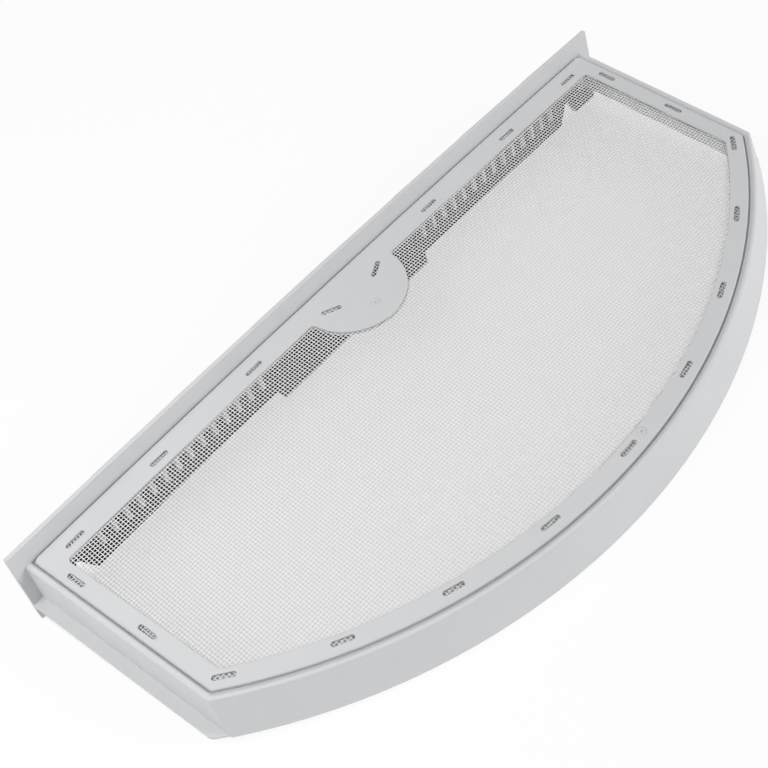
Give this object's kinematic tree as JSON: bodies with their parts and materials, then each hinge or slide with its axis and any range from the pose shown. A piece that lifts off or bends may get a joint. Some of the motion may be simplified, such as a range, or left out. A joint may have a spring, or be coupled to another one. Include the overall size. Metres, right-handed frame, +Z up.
{
  "type": "tumble dryer lint filter",
  "caption": "D-shaped lint filter: a woven screen in a slotted frame with a half-round tab, set in a shallow drafted housing with a leaning face plate and side guide rails.",
  "frame": {"origin": "centre of the footprint, level with the foot of the face plate", "axes": "+X along the straight edge, +Y from the curved front towards the face plate, +Z up out of the screen"},
  "size_m": [0.3988, 0.1862, 0.041],
  "materials": {
    "housing_plastic": "satin light-grey injection moulding",
    "frame_plastic": "satin light-grey injection moulding",
    "screen_fabric": "woven white synthetic thread",
    "felt": "black needled felt"
  },
  "bodies": {
    "root": {"housing": "housing_plastic", "screen_frame": "frame_plastic", "mesh": "screen_fabric", "seal_strip": "felt"}
  },
  "joints": []
}
